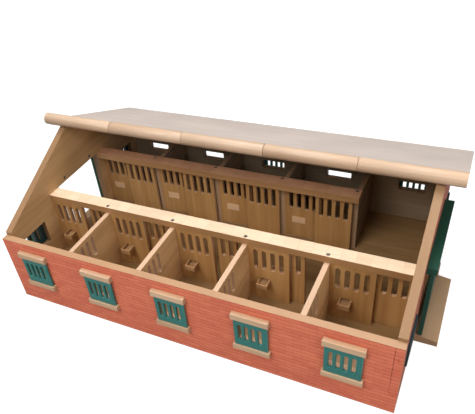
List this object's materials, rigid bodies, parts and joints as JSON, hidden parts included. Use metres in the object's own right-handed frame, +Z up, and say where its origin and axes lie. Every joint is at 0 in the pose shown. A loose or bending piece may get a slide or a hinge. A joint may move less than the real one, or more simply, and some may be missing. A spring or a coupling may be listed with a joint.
{
  "type": "toy barn with opening doors",
  "caption": "Wooden toy stable with brick-printed walls, a fold-back roof, hinged shutters, sliding stall doors and double doors with ramps in both gables.",
  "frame": {"origin": "centre of the house's underside, on the surface it stands on", "axes": "+X along the ridge towards the right gable, +Y towards the back wall, +Z up"},
  "size_m": [0.729, 0.4779, 0.2615],
  "materials": {
    "beech": "clear-lacquered pale beech",
    "plywood": "clear-lacquered warm plywood",
    "brick_board": "plywood printed with small bricks outside, bare inside and at the edges",
    "teal_wood": "satin teal-green paint on wood",
    "roof_board": "satin grey paint on top, bare taupe plywood underneath",
    "steel": "bright zinc-plated steel"
  },
  "bodies": {
    "house": {"floor_board": "plywood", "front_wall": "brick_board", "back_wall": "brick_board", "left_gable": "brick_board", "right_gable": "brick_board", "front_beam": "beech", "rear_beam": "beech", "front_partitions": "plywood", "rear_partitions": "plywood", "front_stall_panels": "plywood", "rear_stall_panels": "plywood", "front_feeders": "beech", "rear_feeders": "beech", "front_window_lintels": "beech", "front_window_sills": "beech", "back_window_lintels": "beech", "back_window_sills": "beech", "left_gable_grilles": "teal_wood", "right_gable_grilles": "teal_wood", "left_door_lintel": "teal_wood", "right_door_lintel": "teal_wood", "left_ramp": "beech", "right_ramp": "beech", "rear_roof_panel": "roof_board", "rear_ridge_rolls": "beech", "ridge_rod": "steel", "fixing_screws": "steel", "shutter_pins": "steel", "gable_door_pins": "steel"},
    "folding_roof": {"front_roof_panel": "roof_board", "front_ridge_rolls": "beech"},
    "front_shutter_1": {"front_shutter_1": "teal_wood"},
    "front_shutter_2": {"front_shutter_2": "teal_wood"},
    "front_shutter_3": {"front_shutter_3": "teal_wood"},
    "front_shutter_4": {"front_shutter_4": "teal_wood"},
    "front_shutter_5": {"front_shutter_5": "teal_wood"},
    "back_shutter_1": {"back_shutter_1": "teal_wood"},
    "back_shutter_2": {"back_shutter_2": "teal_wood"},
    "back_shutter_3": {"back_shutter_3": "teal_wood"},
    "back_shutter_4": {"back_shutter_4": "teal_wood"},
    "back_shutter_5": {"back_shutter_5": "teal_wood"},
    "front_stall_door_1": {"front_stall_door_1": "plywood"},
    "front_stall_door_2": {"front_stall_door_2": "plywood"},
    "front_stall_door_3": {"front_stall_door_3": "plywood"},
    "front_stall_door_4": {"front_stall_door_4": "plywood"},
    "front_stall_door_5": {"front_stall_door_5": "plywood"},
    "rear_stall_door_1": {"rear_stall_door_1": "plywood"},
    "rear_stall_door_2": {"rear_stall_door_2": "plywood"},
    "rear_stall_door_3": {"rear_stall_door_3": "plywood"},
    "rear_stall_door_4": {"rear_stall_door_4": "plywood"},
    "left_gable_door_front": {"left_gable_door_front": "teal_wood", "left_latch_screw": "steel"},
    "left_latch": {"left_latch": "beech"},
    "left_gable_door_rear": {"left_gable_door_rear": "teal_wood"},
    "right_gable_door_front": {"right_gable_door_front": "teal_wood"},
    "right_gable_door_rear": {"right_gable_door_rear": "teal_wood", "right_latch_screw": "steel"},
    "right_latch": {"right_latch": "beech"}
  },
  "joints": [
    {"name": "roof_fold", "type": "hinge", "parent": "house", "child": "folding_roof", "pos_m": [0, 0, 0.2513], "axis": [1, 0, 0], "range_deg": [0, 231.09]},
    {"name": "front_shutter_1_hinge", "type": "hinge", "parent": "house", "child": "front_shutter_1", "pos_m": [-0.2922, -0.2123, 0.0795], "axis": [0, 0, -1], "range_deg": [0, 175]},
    {"name": "front_shutter_2_hinge", "type": "hinge", "parent": "house", "child": "front_shutter_2", "pos_m": [-0.1607, -0.2123, 0.0795], "axis": [0, 0, -1], "range_deg": [0, 175]},
    {"name": "front_shutter_3_hinge", "type": "hinge", "parent": "house", "child": "front_shutter_3", "pos_m": [-0.0292, -0.2123, 0.0795], "axis": [0, 0, -1], "range_deg": [0, 175]},
    {"name": "front_shutter_4_hinge", "type": "hinge", "parent": "house", "child": "front_shutter_4", "pos_m": [0.1023, -0.2123, 0.0795], "axis": [0, 0, -1], "range_deg": [0, 175]},
    {"name": "front_shutter_5_hinge", "type": "hinge", "parent": "house", "child": "front_shutter_5", "pos_m": [0.2338, -0.2123, 0.0795], "axis": [0, 0, -1], "range_deg": [0, 175]},
    {"name": "back_shutter_1_hinge", "type": "hinge", "parent": "house", "child": "back_shutter_1", "pos_m": [-0.2338, 0.2123, 0.0795], "axis": [0, 0, -1], "range_deg": [-110, 65]},
    {"name": "back_shutter_2_hinge", "type": "hinge", "parent": "house", "child": "back_shutter_2", "pos_m": [-0.1023, 0.2123, 0.0795], "axis": [0, 0, -1], "range_deg": [-60, 115]},
    {"name": "back_shutter_3_hinge", "type": "hinge", "parent": "house", "child": "back_shutter_3", "pos_m": [0.0292, 0.2123, 0.0795], "axis": [0, 0, -1], "range_deg": [0, 175]},
    {"name": "back_shutter_4_hinge", "type": "hinge", "parent": "house", "child": "back_shutter_4", "pos_m": [0.1607, 0.2123, 0.0795], "axis": [0, 0, -1], "range_deg": [-95, 80]},
    {"name": "back_shutter_5_hinge", "type": "hinge", "parent": "house", "child": "back_shutter_5", "pos_m": [0.2922, 0.2123, 0.0795], "axis": [0, 0, -1], "range_deg": [0, 175]},
    {"name": "front_stall_door_1_slide", "type": "slide", "parent": "house", "child": "front_stall_door_1", "axis": [1, 0, 0], "range_m": [-0.0707, 0.0003]},
    {"name": "front_stall_door_2_slide", "type": "slide", "parent": "house", "child": "front_stall_door_2", "axis": [1, 0, 0], "range_m": [-0.05467, 0.00623]},
    {"name": "front_stall_door_3_slide", "type": "slide", "parent": "house", "child": "front_stall_door_3", "axis": [1, 0, 0], "range_m": [-0.06637, 0.00023]},
    {"name": "front_stall_door_4_slide", "type": "slide", "parent": "house", "child": "front_stall_door_4", "axis": [1, 0, 0], "range_m": [-0.02047, 0.04443]},
    {"name": "front_stall_door_5_slide", "type": "slide", "parent": "house", "child": "front_stall_door_5", "axis": [1, 0, 0], "range_m": [-0.0486, 0]},
    {"name": "rear_stall_door_1_slide", "type": "slide", "parent": "house", "child": "rear_stall_door_1", "axis": [1, 0, 0], "range_m": [-0.0544, 0.0111]},
    {"name": "rear_stall_door_2_slide", "type": "slide", "parent": "house", "child": "rear_stall_door_2", "axis": [1, 0, 0], "range_m": [-0.05367, 0.01183]},
    {"name": "rear_stall_door_3_slide", "type": "slide", "parent": "house", "child": "rear_stall_door_3", "axis": [1, 0, 0], "range_m": [-0.05367, 0.01183]},
    {"name": "rear_stall_door_4_slide", "type": "slide", "parent": "house", "child": "rear_stall_door_4", "axis": [1, 0, 0], "range_m": [-0.05367, 0.00633]},
    {"name": "left_gable_door_front_hinge", "type": "hinge", "parent": "house", "child": "left_gable_door_front", "pos_m": [-0.338, -0.0695, 0.0815], "axis": [0, 0, 1], "range_deg": [-175, 0]},
    {"name": "left_latch_turn", "type": "hinge", "parent": "left_gable_door_front", "child": "left_latch", "pos_m": [-0.33866, -0.13218, 0.076], "axis": [0.9962, -0.0872, 0], "range_deg": [0, 180]},
    {"name": "left_gable_door_rear_hinge", "type": "hinge", "parent": "house", "child": "left_gable_door_rear", "pos_m": [-0.338, 0.0695, 0.0815], "axis": [0, 0, -1], "range_deg": [-175, 0]},
    {"name": "right_gable_door_front_hinge", "type": "hinge", "parent": "house", "child": "right_gable_door_front", "pos_m": [0.338, -0.0695, 0.0815], "axis": [0, 0, -1], "range_deg": [0, 175]},
    {"name": "right_gable_door_rear_hinge", "type": "hinge", "parent": "house", "child": "right_gable_door_rear", "pos_m": [0.338, 0.0695, 0.0815], "axis": [0, 0, 1], "range_deg": [0, 175]},
    {"name": "right_latch_turn", "type": "hinge", "parent": "right_gable_door_rear", "child": "right_latch", "pos_m": [0.3428, 0.007, 0.076], "axis": [1, 0, 0], "range_deg": [0, 180]}
  ]
}
